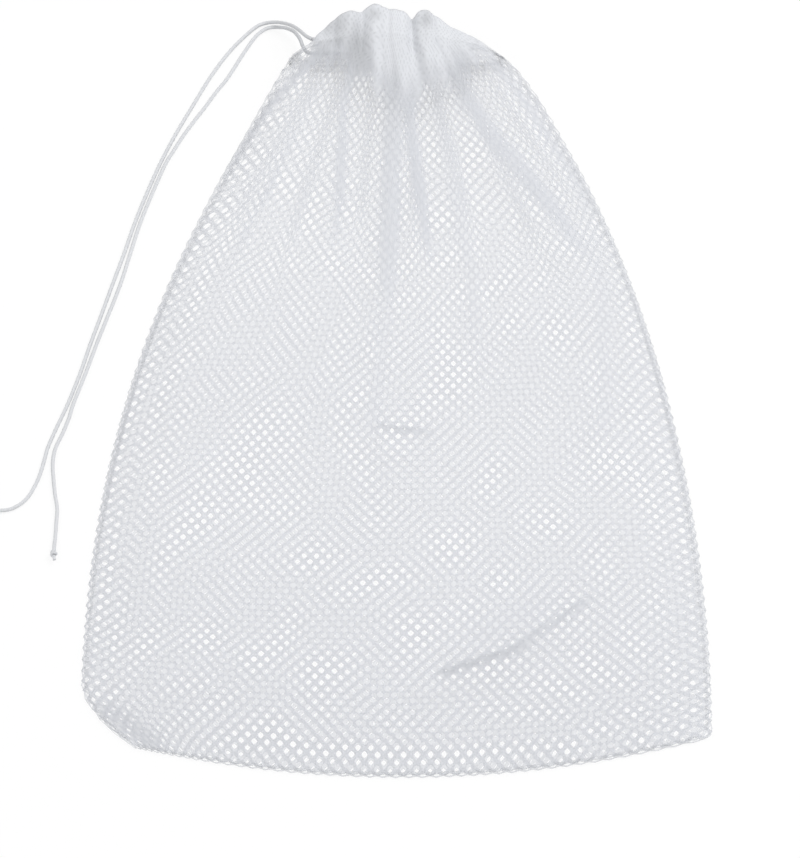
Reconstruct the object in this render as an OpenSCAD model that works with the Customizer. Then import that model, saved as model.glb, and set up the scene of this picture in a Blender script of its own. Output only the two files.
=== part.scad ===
// Mesh produce bag lying flat with its neck drawn up: two mesh panels sewn into a sack,
// a gathered hem that forms the cord channel, and a drawstring with two knotted tails.
// +X is the bag's right, +Y points from the bottom seam to the mouth, +Z is up.
// The origin is on the table, under the middle of the bag. All sizes are millimetres.

/* [Bag] */
// Width of the bag across its widest part, seam to seam
bag_w = 400; // [320:5:480]
// Length of the lying bag, bottom seam to the top of the gathered hem
bag_len = 590; // [480:5:700]
// Thickness of the mesh cloth
cloth_t = 0.8; // [0.6:0.1:1.6]
// Roundness of the left side: a larger number is a fuller side
left_fullness = 1; // [1:0.05:1.8]
// Roundness of the right side
right_fullness = 1.3; // [1:0.05:1.8]
// How late the left side turns in towards the neck: a larger number is a squarer side
left_square = 2.3; // [2:0.1:3]
// How late the right side turns in towards the neck
right_square = 2; // [2:0.1:3]
// Height of the left bottom corner above the lowest point of the bottom seam
left_corner_lift = 23; // [20:1:60]
// Height of the right bottom corner above the lowest point of the bottom seam
right_corner_lift = 31; // [20:1:60]
// Width of the bag's shoulders, where the panels meet the gathered hem
shoulder_w = 132; // [110:2:150]
// How far the left bottom corner is drawn in
corner_draw = 36; // [0:1:40]
// Width of the rim over which the front panel rises from the seams
rim_w = 60; // [30:2:80]
// Depth of the folds that run down from the gathered neck
fold_depth = 2.4; // [0:0.2:4]

/* [Net] */
// Openings across each panel, each standing for several small meshes
mesh_across = 12; // [8:2:12]
// Openings along each panel
mesh_along = 16; // [10:1:18]
// Open share of each step of the net
mesh_open = 0.58; // [0.4:0.02:0.7]
// Length of the gathered cloth without openings, next to the hem
gather_len = 50; // [40:2:80]

/* [Seams] */
// Width of the overlocked seam allowance
seam_w = 4; // [3:0.5:7]
// Height of the seam between the two panels
seam_h = 2.4; // [1.6:0.2:4]
// Width of the overlock thread beside each seam
thread_w = 0.8; // [0.5:0.1:1.2]

/* [Gathered hem] */
// Width of the drawn-up neck at the lower edge of the hem
neck_w = 108; // [90:2:140]
// Length of the hem, lower edge to the top of its longest ruffle
hem_len = 30; // [26:1:40]
// Length of the plain band of the hem, which holds the cord channel
band_len = 14; // [12:1:18]
// Height of the cord channel's axis above the lower edge of the hem
channel_up = 8; // [6:0.5:10]
// Bore of the cord channel
channel_bore = 3.6; // [3.2:0.1:4.4]
// Cloth left around the cord channel
channel_wall = 1.4; // [1:0.1:2]
// Height of the mouth between the front and the back of the hem
mouth_gap = 9; // [8:0.5:14]
// Cloth beyond the cord's turn at the right end of the hem
end_wall = 3; // [2:0.5:5]
// Width of the cloth that joins the hem's front to its back at the left end
join_w = 6; // [5:0.5:10]
// Thickness of the hem's stitching thread
stitch_d = 0.8; // [0.5:0.1:1.2]
// Length of one stitch
stitch_len = 4; // [2:0.5:6]
// Height of the stitching above the lower edge of the hem
stitch_up = 3; // [2:0.5:5]

/* [Drawstring] */
// Diameter of the cord
cord_d = 2.5; // [1.5:0.1:2.6]
// Length of cord that lies straight in each side of the channel
run_len = 66; // [40:1:68]
// Gap between that length and the cord's turn, which stays behind when the tails are pulled
run_gap = 0.3; // [0.2:0.1:1]
// Diameter of the knot at each tail's end
knot_d = 5.2; // [4.4:0.2:8]
// Length of the knot
knot_len = 5.5; // [4.5:0.5:9]
// Length of the loose end beyond each knot
tag_len = 2; // [1:0.5:8]

/* [Hidden] */
$fn = 48;

// Folds across the front panel, and rows of lobes across the hem
fold_count = 6;
// How far each ruffle of the hem stops short of the longest one, left to right
ruffle_short = [13, 6, 0, 1, 1, 8, 3, 11, 15];
lobe_count = len(ruffle_short);
// How squarely the bottom seam sags between its corners
sag_power = 2;
// Share of the side over which the left bottom corner is drawn in
corner_share = 0.1;
// Share of the local width that the rim may take
rim_share = 0.16;
// How tightly the folds keep to the neck
fold_fade = 4;

// Rows of the gathered cloth next to the hem
gather_rows = 4;

low_y = -bag_len / 2;
top_y = bag_len / 2;
neck_y = top_y - hem_len;
corner_drop = (left_corner_lift + right_corner_lift) / 2;
seam_top = cloth_t + seam_h;

// Heights of the hem: the back lies on the table, the mouth is between the two halves
channel_y = neck_y + channel_up;
lobe_pitch = neck_w / lobe_count;
lobe_r = 0.52 * lobe_pitch;
back_channel_z = lobe_r;
back_top = back_channel_z + channel_bore / 2 + channel_wall;
front_low = back_top + mouth_gap;
front_channel_z = front_low + channel_wall + channel_bore / 2;
front_band_top = front_channel_z + channel_bore / 2 + channel_wall;
crown_z = front_low + fold_depth + cloth_t + 0.4;

// The cord's turn at the right end of the channel
turn_r = (front_channel_z - back_channel_z) / 2;
turn_z = (front_channel_z + back_channel_z) / 2;
turn_x = neck_w / 2 - end_wall - channel_bore / 2 - turn_r;
run_end_x = run_len - neck_w / 2;

// Outline of the lying bag: share 0 is the bottom seam, share 1 the hem
function side_half(share, fullness, square) =
    shoulder_w / 2 + (bag_w - shoulder_w) / 2 * pow(max(0, 1 - pow(share, square)), 1 / fullness);
function left_x(share) =
    corner_draw * pow(max(0, 1 - share / corner_share), 2) - side_half(share, left_fullness, left_square);
function right_x(share) = side_half(share, right_fullness, right_square);
function corner_y(across) =
    low_y + left_corner_lift * (1 - across) + right_corner_lift * across;
function sag(across, share) =
    corner_drop * (1 - pow(abs(2 * across - 1), sag_power)) * pow(1 - share, 3);
function cloth_y(across, share) =
    corner_y(across) * (1 - share) + neck_y * share - sag(across, share);
function across_at(x, share) = (x - left_x(share)) / (right_x(share) - left_x(share));
function cloth_point(x, share) = [x, cloth_y(across_at(x, share), share)];

// Rows and columns of a panel: the seam allowances, then the two edges of every opening,
// and last the rows of the gathered cloth
net_rows = 2 * mesh_along + 2;
row_count = net_rows + gather_rows;
column_count = 2 * mesh_across + 3;
seam_share = seam_w / (neck_y - low_y);
net_top = 1 - gather_len / (neck_y - low_y);
function opening_edge(n) = floor(n / 2) + (1 + (n % 2 == 0 ? -mesh_open : mesh_open)) / 2;
function row_share(i) =
    i == 0 ? 0 :
    i == 1 ? seam_share :
    i < net_rows ? seam_share + (net_top - seam_share) * opening_edge(i - 2) / mesh_along :
    net_top + (1 - net_top) * (i - net_rows) / gather_rows;
function column_place(j) =
    j == 1 ? 0 :
    j == column_count - 1 ? 1 :
    opening_edge(j - 2) / mesh_across;
function column_x(share, j) =
    j == 0 ? left_x(share) :
    j == column_count ? right_x(share) :
    left_x(share) + seam_w + (right_x(share) - left_x(share) - 2 * seam_w) * column_place(j);
function is_open(i, j) =
    i > 1 && i < net_rows && i % 2 == 0 && j > 1 && j < column_count - 1 && j % 2 == 0;

// Height of the front panel's outer face: flat on the seams, crowned between them
function ease(s) = s < 0 ? 0 : s > 1 ? 1 : s * (2 - s);
function rim_at(share) = min(rim_w, rim_share * (right_x(share) - left_x(share)));
function side_gap(x, share) = min(x - left_x(share), right_x(share) - x) - seam_w;
function bottom_gap(x, share) =
    cloth_point(x, share)[1] - cloth_point(x, seam_share)[1];
function fold(x, share) =
    fold_depth * pow(share, fold_fade) * cos(360 * fold_count * across_at(x, share));
function crown(x, share) =
    ease(side_gap(x, share) / rim_at(share)) * ease(bottom_gap(x, share) / rim_w);
function front_z(x, share) =
    seam_top + cloth_t + (crown_z - seam_top - cloth_t + fold(x, share)) * crown(x, share);

function flat_list(rows) = [for (row = rows) for (p = row) p];

// A closed sheet between two grids of points, the upper grid given first, with the cells
// that the last argument names left open
module sheet(upper, lower, open = function (i, j) false) {
    n = len(upper);
    m = len(upper[0]);
    b = n * m;
    cells = [for (i = [0 : n - 2]) for (j = [0 : m - 2]) [i, j]];
    function corners(c) =
        let (a = c[0] * m + c[1])
        [a, a + m, a + m + 1, a + 1];
    top_faces = [
        for (c = cells) if (!open(c[0], c[1]))
            let (q = corners(c))
            each [[q[0], q[1], q[2]], [q[0], q[2], q[3]]]
    ];
    low_faces = [for (f = top_faces) [f[2] + b, f[1] + b, f[0] + b]];
    rim = concat(
        [for (j = [0 : 1 : m - 1]) j],
        [for (i = [1 : 1 : n - 1]) i * m + m - 1],
        [for (j = [m - 2 : -1 : 0]) (n - 1) * m + j],
        [for (i = [n - 2 : -1 : 1]) i * m]
    );
    loops = concat([rim], [for (c = cells) if (open(c[0], c[1])) corners(c)]);
    walls = [
        for (loop = loops) for (i = [0 : len(loop) - 1])
            let (p = loop[i])
            let (q = loop[(i + 1) % len(loop)])
            each [[p, q, q + b], [p, q + b, p + b]]
    ];
    polyhedron(concat(flat_list(upper), flat_list(lower)), concat(top_faces, low_faces, walls));
}

// A strip of cloth or thread between two lines of plan points
module strip(line_a, line_b, z_low, z_high) {
    upper = [for (i = [0 : len(line_a) - 1]) [
        [line_a[i][0], line_a[i][1], z_high], [line_b[i][0], line_b[i][1], z_high]
    ]];
    lower = [for (row = upper) [for (p = row) [p[0], p[1], z_low]]];
    sheet(upper, lower);
}

// Lines beside the seams: side is -1 for the left seam and 1 for the right one
function side_line(side, inset, first_lift) = [
    for (i = [1 : row_count])
        let (share = row_share(i))
        let (x = side < 0 ? left_x(share) + inset : right_x(share) - inset)
        cloth_point(x, share) + [0, i == 1 ? first_lift : 0]
];
function bottom_line(share, lift) =
    [for (j = [0 : column_count]) cloth_point(column_x(share, j), share) + [0, lift]];
function inner_columns(line) = [for (j = [1 : column_count - 1]) line[j]];

// A round cord swept through plan points, with its first and last faces square to it
function curve_point(p, i, t) =
    let (n = len(p))
    let (a = p[max(0, i - 1)])
    let (b = p[i])
    let (c = p[i + 1])
    let (d = p[min(n - 1, i + 2)])
    0.5 * (2 * b + (c - a) * t + (2 * a - 5 * b + 4 * c - d) * t * t + (3 * b - a - 3 * c + d) * t * t * t);
function unit(v) = v / norm(v);
function ring(centre, along, r, sides) =
    let (side = unit(cross([0, 0, 1], along)))
    let (up = cross(along, side))
    [for (k = [0 : sides - 1])
        centre + r * cos(360 * (k + 0.5) / sides) * side + r * sin(360 * (k + 0.5) / sides) * up];
module swept_cord(route, d, sides) {
    path = concat(
        [for (i = [0 : len(route) - 2]) curve_point(route, i, 0)],
        [route[len(route) - 1]]
    );
    n = len(path);
    along = [for (i = [0 : n - 1])
        i == 0 ? [-1, 0, 0] :
        i == n - 1 ? unit(path[n - 1] - path[n - 2]) :
        unit(path[i + 1] - path[i - 1])];
    points = [for (i = [0 : n - 1]) each ring(path[i], along[i], d / 2, sides)];
    walls = [
        for (i = [0 : n - 2]) for (k = [0 : sides - 1])
            let (q = (k + 1) % sides)
            each [
                [i * sides + k, (i + 1) * sides + k, (i + 1) * sides + q],
                [i * sides + k, (i + 1) * sides + q, i * sides + q]
            ]
    ];
    first_cap = [for (k = [1 : sides - 2]) [0, k, k + 1]];
    last_cap = [for (k = [1 : sides - 2]) [(n - 1) * sides, (n - 1) * sides + k + 1, (n - 1) * sides + k]];
    polyhedron(points, concat(walls, first_cap, last_cap));
}

// Free tails of the drawstring: from the left end of the channel down to the table, then
// side by side past the bag's left edge, each to its own knot
front_route = concat([[-neck_w / 2, channel_y, front_channel_z]], [
    [-58, 276, 21.2], [-62, 282, 18.8], [-66.5, 288.5, 15], [-72, 294.5, 10], [-78, 299, 5],
    [-84, 300.6, 1.9], [-90, 298, 1.4], [-99, 288.5, 1.4], [-108.5, 276, 1.4], [-119.5, 257.5, 1.4],
    [-131, 234, 1.4], [-142, 211, 1.4], [-152, 187, 1.4], [-160.5, 163, 1.4], [-168, 139.5, 1.4],
    [-174.5, 116, 1.4], [-181.5, 92.5, 1.4], [-188.5, 68.5, 1.4], [-195.5, 45, 1.4], [-202, 21.5, 1.4],
    [-209.5, -2, 1.4], [-214, -14, 1.4], [-218.5, -26, 1.4], [-222.5, -38, 1.4], [-225, -49.5, 1.4],
    [-228, -61, 1.4], [-233, -73, 1.4], [-238, -80, 1.4], [-244, -84.5, 1.4], [-249, -86.2, 1.5],
    [-254, -86.6, 2], [-260, -85.8, 2.7]
]);
back_route = concat([[-neck_w / 2, channel_y, back_channel_z]], [
    [-57.5, 274, 6.5], [-60, 278.5, 6.8], [-62, 284.5, 6.8], [-65.5, 290.5, 6], [-70.5, 294.5, 4.6],
    [-76, 296.6, 2.8], [-82, 297, 1.6], [-87, 294, 1.4], [-91.5, 288.5, 1.4], [-98.5, 276, 1.4],
    [-108, 257.5, 1.4], [-115.5, 246, 1.4], [-122.5, 234, 1.4], [-130, 222, 1.4], [-136.5, 211, 1.4],
    [-143, 198.5, 1.4], [-148.5, 187, 1.4], [-157, 163, 1.4], [-164.5, 139.5, 1.4], [-170.5, 116, 1.4],
    [-176.5, 92.5, 1.4], [-184, 68.5, 1.4], [-191.5, 45, 1.4], [-198.5, 21.5, 1.4], [-206, -2, 1.4],
    [-209, -14, 1.4], [-213, -26, 1.4], [-217.5, -38, 1.4], [-219, -49.5, 1.4], [-218.5, -61, 1.4],
    [-217.5, -73, 1.4], [-216, -85, 1.4], [-216.5, -97, 1.4], [-217, -107, 1.5], [-217.5, -113, 2],
    [-217.8, -119, 2.7]
]);

module lying_knot(route) {
    n = len(route);
    along = route[n - 1] - route[n - 2];
    turn = atan2(along[1], along[0]);
    tilt = atan2(along[2], norm([along[0], along[1]]));
    bead_r = min(knot_len, knot_d) / 4;
    translate(route[n - 1])
        rotate([0, 90 - tilt, turn]) {
            rotate_extrude() {
                square([knot_d / 2 - bead_r, knot_len]);
                translate([knot_d / 2 - bead_r, bead_r]) circle(bead_r);
                translate([knot_d / 2 - bead_r, knot_len - bead_r]) circle(bead_r);
            }
            translate([0, 0, knot_len - 0.01]) cylinder(d = cord_d, h = tag_len + 0.01);
        }
}

module along_x(x, y, z, d, len) {
    translate([x, y, z]) rotate([0, 90, 0]) cylinder(d = d, h = len);
}

// Half a ring round the end of the channel, in the upright plane along the channel
module cord_turn(d) {
    translate([turn_x, channel_y, turn_z])
        rotate([90, 0, 0])
            rotate([0, 0, -90])
                rotate_extrude(angle = 180) translate([turn_r, 0]) circle(d = d);
}

module channel_cut() {
    along_x(-neck_w / 2 - 1, channel_y, front_channel_z, channel_bore, turn_x + neck_w / 2 + 1);
    along_x(-neck_w / 2 - 1, channel_y, back_channel_z, channel_bore, turn_x + neck_w / 2 + 1);
    cord_turn(channel_bore);
}

function lobe_x(k) = (k + 0.5) * lobe_pitch - neck_w / 2;
function lobe_end(k) = hem_len - ruffle_short[k];

module gather_lobes(axis_z) {
    for (k = [0 : lobe_count - 1])
        translate([lobe_x(k), neck_y, axis_z])
            rotate([-90, 0, 0]) cylinder(r = lobe_r - 0.02, h = lobe_end(k));
}

module stitch_row(axis_z) {
    for (k = [0 : lobe_count - 1])
        along_x(lobe_x(k) - stitch_len / 2, neck_y + stitch_up, axis_z, stitch_d, stitch_len);
}

module front_panel() {
    upper = [for (i = [0 : row_count]) [for (j = [0 : column_count])
        let (share = row_share(i))
        let (x = column_x(share, j))
        let (p = cloth_point(x, share))
        let (flat = i < 2 || j < 2 || j > column_count - 2)
        [p[0], p[1], flat ? seam_top + cloth_t : front_z(x, share)]]];
    lower = [for (row = upper) [for (p = row) p - [0, 0, cloth_t]]];
    color("whitesmoke") sheet(upper, lower, function (i, j) is_open(i, j));
}

module back_panel() {
    outline = concat(
        [for (j = [0 : column_count]) cloth_point(column_x(0, j), 0)],
        [for (i = [1 : row_count]) cloth_point(right_x(row_share(i)), row_share(i))],
        [for (i = [row_count : -1 : 1]) cloth_point(left_x(row_share(i)), row_share(i))]
    );
    openings = [for (i = [0 : row_count]) for (j = [0 : column_count]) if (is_open(i, j))
        [for (q = [[0, 0], [0, 1], [1, 1], [1, 0]])
            let (share = row_share(i + q[0]))
            cloth_point(column_x(share, j + q[1]), share)]];
    color("gainsboro") linear_extrude(cloth_t) difference() {
        polygon(outline);
        for (opening = openings) polygon(opening);
    }
}

module left_side_seam() {
    color("white") strip(side_line(-1, 0, 0), side_line(-1, seam_w, 0), cloth_t, seam_top);
}

module right_side_seam() {
    color("white") strip(side_line(1, seam_w, 0), side_line(1, 0, 0), cloth_t, seam_top);
}

module bottom_seam() {
    lower_line = bottom_line(0, 0);
    upper_line = bottom_line(seam_share, 0);
    color("white") strip(upper_line, lower_line, cloth_t, seam_top);
}

module left_seam_thread() {
    inset = seam_w + thread_w;
    color("lavender")
        strip(side_line(-1, seam_w, thread_w), side_line(-1, inset, thread_w), cloth_t, cloth_t + thread_w);
}

module right_seam_thread() {
    inset = seam_w + thread_w;
    color("lavender")
        strip(side_line(1, inset, thread_w), side_line(1, seam_w, thread_w), cloth_t, cloth_t + thread_w);
}

module bottom_seam_thread() {
    lower_line = inner_columns(bottom_line(seam_share, 0));
    upper_line = inner_columns(bottom_line(seam_share, thread_w));
    color("lavender") strip(upper_line, lower_line, cloth_t, cloth_t + thread_w);
}

module front_hem_casing() {
    join_h = front_low - back_top;
    color("ghostwhite") difference() {
        union() {
            translate([-neck_w / 2, neck_y, front_low])
                cube([neck_w, band_len, front_band_top - front_low]);
            gather_lobes(front_low + lobe_r);
            translate([-neck_w / 2, neck_y, back_top]) cube([join_w, band_len, join_h + 0.5]);
            translate([turn_x, neck_y, back_top]) cube([neck_w / 2 - turn_x, band_len, join_h + 0.5]);
        }
        channel_cut();
    }
}

module back_hem_casing() {
    color("snow") difference() {
        union() {
            translate([-neck_w / 2, neck_y, 0]) cube([neck_w, band_len, back_top]);
            gather_lobes(back_channel_z);
        }
        channel_cut();
        translate([-neck_w, neck_y - 1, back_top]) cube([2 * neck_w, hem_len + 2, 2 * lobe_r]);
    }
}

module front_hem_stitching() {
    color("aliceblue") stitch_row(front_low + 2 * lobe_r);
}

module back_hem_stitching() {
    color("aliceblue") stitch_row(stitch_d / 2);
}

module drawstring_loop() {
    color("white") {
        cord_turn(cord_d);
        along_x(run_end_x + run_gap, channel_y, front_channel_z, cord_d, turn_x - run_end_x - run_gap);
        along_x(run_end_x + run_gap, channel_y, back_channel_z, cord_d, turn_x - run_end_x - run_gap);
    }
}

module front_drawstring_run() {
    color("white") along_x(-neck_w / 2, channel_y, front_channel_z, cord_d, run_len);
}

module back_drawstring_run() {
    color("white") along_x(-neck_w / 2, channel_y, back_channel_z, cord_d, run_len);
}

module front_drawstring_tail() {
    color("white") swept_cord(front_route, cord_d, 8);
}

module back_drawstring_tail() {
    color("white") swept_cord(back_route, cord_d, 8);
}

module front_tail_knot() {
    color("white") lying_knot(front_route);
}

module back_tail_knot() {
    color("white") lying_knot(back_route);
}

front_panel();
back_panel();
left_side_seam();
right_side_seam();
bottom_seam();
left_seam_thread();
right_seam_thread();
bottom_seam_thread();
front_hem_casing();
back_hem_casing();
front_hem_stitching();
back_hem_stitching();
drawstring_loop();
front_drawstring_run();
back_drawstring_run();
front_drawstring_tail();
back_drawstring_tail();
front_tail_knot();
back_tail_knot();
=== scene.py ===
import math
import bpy
import numpy as np
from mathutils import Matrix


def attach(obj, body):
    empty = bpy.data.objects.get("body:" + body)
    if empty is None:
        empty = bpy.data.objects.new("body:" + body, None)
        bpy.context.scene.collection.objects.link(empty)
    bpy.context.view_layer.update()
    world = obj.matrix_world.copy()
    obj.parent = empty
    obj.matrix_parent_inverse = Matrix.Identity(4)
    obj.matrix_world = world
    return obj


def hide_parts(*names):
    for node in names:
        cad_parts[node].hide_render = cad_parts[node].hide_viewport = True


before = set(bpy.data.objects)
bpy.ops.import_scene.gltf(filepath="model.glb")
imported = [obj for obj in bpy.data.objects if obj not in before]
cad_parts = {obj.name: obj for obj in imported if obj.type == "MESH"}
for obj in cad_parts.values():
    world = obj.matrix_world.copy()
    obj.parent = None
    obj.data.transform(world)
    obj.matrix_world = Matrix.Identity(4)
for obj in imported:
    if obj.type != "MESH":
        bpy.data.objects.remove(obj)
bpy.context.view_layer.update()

mm = 0.001  # sizes below are in millimetres unless a name says otherwise


def clearSelection():
    if bpy.context.object and bpy.context.object.mode != "OBJECT":
        bpy.ops.object.mode_set(mode="OBJECT")
    bpy.ops.object.select_all(action="DESELECT")


# camera: a long lens looking down on the table, a little over half way up from the floor
viewFacts = dict(pixelsPerMm=1.566, imageHeight=858, elevation=54.0, aim=(2.55, -21.2, 0.0), lens=1400.0,
                 sensor=36.0, clip=(0.1, 400.0))


def addCamera():
    data = bpy.data.cameras.new("camera")
    data.lens = viewFacts["lens"]
    data.sensor_fit = "VERTICAL"
    data.sensor_height = viewFacts["sensor"]
    data.clip_start, data.clip_end = viewFacts["clip"]
    cam = bpy.data.objects.new("camera", data)
    bpy.context.scene.collection.objects.link(cam)
    tall = viewFacts["imageHeight"] / viewFacts["pixelsPerMm"] * mm
    reach = viewFacts["lens"] / viewFacts["sensor"] * tall
    up = math.radians(viewFacts["elevation"])
    aim = [c * mm for c in viewFacts["aim"]]
    cam.location = (aim[0], aim[1] - reach * math.cos(up), aim[2] + reach * math.sin(up))
    cam.rotation_euler = (math.pi / 2 - up, 0.0, 0.0)
    bpy.context.scene.camera = cam


addCamera()
print("camera set")


# node groups and materials
def newGroup(name, inputs, outputs):
    group = bpy.data.node_groups.new(name, "ShaderNodeTree")
    for label, kind, value in inputs:
        socket = group.interface.new_socket(label, in_out="INPUT", socket_type=kind)
        if value is not None:
            socket.default_value = value
    for label, kind in outputs:
        group.interface.new_socket(label, in_out="OUTPUT", socket_type=kind)
    return group, group.nodes.new("NodeGroupInput"), group.nodes.new("NodeGroupOutput")


def mathNode(tree, operation, first, second=None):
    node = tree.nodes.new("ShaderNodeMath")
    node.operation = operation
    for i, value in enumerate((first, second)):
        if value is None:
            continue
        if isinstance(value, (int, float)):
            node.inputs[i].default_value = value
        else:
            tree.links.new(value, node.inputs[i])
    return node.outputs[0]


yarnFacts = dict(fibreDetail=3.0, toneDetail=2.0, fibreHeight=0.6, loopHeight=-0.5, fibreTone=0.45,
                 slowTone=0.55, roughSpread=0.2, smoothest=0.72)


def makeYarnGroup():
    # spun yarn: fine fibre streaks, loops of knitting, and slow changes of tone
    group, start, end = newGroup(
        "yarn",
        [("Vector", "NodeSocketVector", None), ("Light", "NodeSocketColor", (0.8, 0.8, 0.8, 1)),
         ("Dark", "NodeSocketColor", (0.6, 0.6, 0.6, 1)), ("Fibre scale", "NodeSocketFloat", 900.0),
         ("Tone scale", "NodeSocketFloat", 14.0)],
        [("Color", "NodeSocketColor"), ("Height", "NodeSocketFloat"), ("Roughness", "NodeSocketFloat")],
    )
    fibre = group.nodes.new("ShaderNodeTexNoise")
    fibre.inputs["Detail"].default_value = yarnFacts["fibreDetail"]
    loops = group.nodes.new("ShaderNodeTexVoronoi")
    tone = group.nodes.new("ShaderNodeTexNoise")
    tone.inputs["Detail"].default_value = yarnFacts["toneDetail"]
    for node, scale in ((fibre, "Fibre scale"), (loops, "Fibre scale"), (tone, "Tone scale")):
        group.links.new(start.outputs["Vector"], node.inputs["Vector"])
        group.links.new(start.outputs[scale], node.inputs["Scale"])
    height = mathNode(group, "ADD", mathNode(group, "MULTIPLY", fibre.outputs[0], yarnFacts["fibreHeight"]),
                      mathNode(group, "MULTIPLY", loops.outputs["Distance"], yarnFacts["loopHeight"]))
    share = mathNode(group, "ADD", mathNode(group, "MULTIPLY", fibre.outputs[0], yarnFacts["fibreTone"]),
                     mathNode(group, "MULTIPLY", tone.outputs[0], yarnFacts["slowTone"]))
    mix = group.nodes.new("ShaderNodeMix")
    mix.data_type = "RGBA"
    group.links.new(share, mix.inputs[0])
    group.links.new(start.outputs["Dark"], mix.inputs[6])
    group.links.new(start.outputs["Light"], mix.inputs[7])
    group.links.new(mix.outputs[2], end.inputs["Color"])
    group.links.new(height, end.inputs["Height"])
    uneven = mathNode(group, "MULTIPLY", fibre.outputs[0], yarnFacts["roughSpread"])
    group.links.new(mathNode(group, "ADD", uneven, yarnFacts["smoothest"]), end.inputs["Roughness"])
    return group


yarnGroup = makeYarnGroup()


# depth of the cloth's relief, how it takes and passes light, and how dark its painted shade gets
clothFacts = dict(reliefDepth=0.0004, netHeight=1.2, netThin=0.16, sheenRoughness=0.5, specular=0.25,
                  paintedShadeTone=0.7, shadowLoss=0.6)


def makeCloth(name, light, dark, fibreScale, bump, sheen, sheer=0.0, pattern=None):
    mat = bpy.data.materials.new(name)
    mat.use_nodes = True
    tree = mat.node_tree
    shader = tree.nodes["Principled BSDF"]
    where = tree.nodes.new("ShaderNodeTexCoord")
    yarn = tree.nodes.new("ShaderNodeGroup")
    yarn.node_tree = yarnGroup
    yarn.inputs["Light"].default_value = (*light, 1)
    yarn.inputs["Dark"].default_value = (*dark, 1)
    yarn.inputs["Fibre scale"].default_value = fibreScale
    tree.links.new(where.outputs["Object"], yarn.inputs["Vector"])
    height = yarn.outputs["Height"]
    waves = pattern(tree, where) if pattern else None
    if pattern:
        height = mathNode(tree, "ADD", height, mathNode(tree, "MULTIPLY", waves, clothFacts["netHeight"]))
    relief = tree.nodes.new("ShaderNodeBump")
    relief.inputs["Strength"].default_value = bump
    relief.inputs["Distance"].default_value = clothFacts["reliefDepth"]
    tree.links.new(height, relief.inputs["Height"])
    tree.links.new(relief.outputs[0], shader.inputs["Normal"])
    tree.links.new(yarn.outputs["Roughness"], shader.inputs["Roughness"])
    shader.inputs["Sheen Weight"].default_value = sheen
    shader.inputs["Sheen Roughness"].default_value = clothFacts["sheenRoughness"]
    shader.inputs["Specular IOR Level"].default_value = clothFacts["specular"]
    # painted shade: the colour is darkened towards a grey by a per-point attribute, in the hollows of the
    # gathers, along the creases and on the cord near the hem
    paintedShade = tree.nodes.new("ShaderNodeAttribute")
    paintedShade.attribute_name = "paintedShade"
    paintedShadeMix = tree.nodes.new("ShaderNodeMix")
    paintedShadeMix.data_type = "RGBA"
    paintedShadeMix.inputs[7].default_value = (*(clothFacts["paintedShadeTone"] * c for c in dark), 1)
    tree.links.new(paintedShade.outputs["Fac"], paintedShadeMix.inputs[0])
    tree.links.new(yarn.outputs["Color"], paintedShadeMix.inputs[6])
    tree.links.new(paintedShadeMix.outputs[2], shader.inputs["Base Color"])
    if sheer:
        dense = tree.nodes.new("ShaderNodeAttribute")
        dense.attribute_name = "bunched"
        thick = mathNode(tree, "MULTIPLY", dense.outputs["Fac"], 1 - sheer)
        # light filters through thin yarn, so its shadow is fainter than the yarn itself
        rays = tree.nodes.new("ShaderNodeLightPath")
        lost = mathNode(tree, "MULTIPLY", rays.outputs["Is Shadow Ray"], clothFacts["shadowLoss"])
        filtered = mathNode(tree, "SUBTRACT", 1.0, lost)
        solid = mathNode(tree, "ADD", thick, sheer)
        if pattern:
            thin = mathNode(tree, "MAXIMUM", mathNode(tree, "MULTIPLY", waves, -clothFacts["netThin"]), 0.0)
            solid = mathNode(tree, "MULTIPLY", solid, mathNode(tree, "SUBTRACT", 1.0, thin))
        tree.links.new(mathNode(tree, "MULTIPLY", solid, filtered), shader.inputs["Alpha"])
    return mat


# knitted net of the panels
netFacts = dict(
    across=8.31,     # repeat of the meshes across the cloth
    along=8.9,       # repeat along the cloth
    holeCorner=0.5,  # reach of a hole towards its corners
    holeSide=0.62,   # reach of a hole towards its sides
    least=0.03,      # what is left of a hole where the net is bunched
    yarnHalf=0.3,    # half the thickness of the knitted yarn
    unevenness=1.6,  # how far the meshes wander
    closeUnevenness=0.75,  # the same over short ways
    half=199.5,      # reach of the net to each side
    reach=574.0,     # reach of the net from the bottom into the hem
    driftScale=110.0, drift=16.0,  # wandering of the hem's faint meshes
)


def netRelief(tree, where):
    # faint meshes of the hem's doubled net, laid by its own UV in millimetres, with some wandering
    drift = tree.nodes.new("ShaderNodeTexNoise")
    drift.inputs["Scale"].default_value = netFacts["driftScale"]
    tree.links.new(where.outputs["Object"], drift.inputs["Vector"])
    wander = mathNode(tree, "MULTIPLY", drift.outputs[0], netFacts["drift"])
    split = tree.nodes.new("ShaderNodeSeparateXYZ")
    tree.links.new(where.outputs["UV"], split.inputs[0])
    placeAcross = mathNode(tree, "ADD", split.outputs[0], wander)
    placeAlong = mathNode(tree, "SUBTRACT", split.outputs[1], wander)
    across = mathNode(tree, "MULTIPLY", placeAcross, 2 * math.pi / netFacts["across"])
    along = mathNode(tree, "MULTIPLY", placeAlong, 2 * math.pi / netFacts["along"])
    return mathNode(tree, "MULTIPLY", mathNode(tree, "COSINE", across), mathNode(tree, "COSINE", along))


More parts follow.
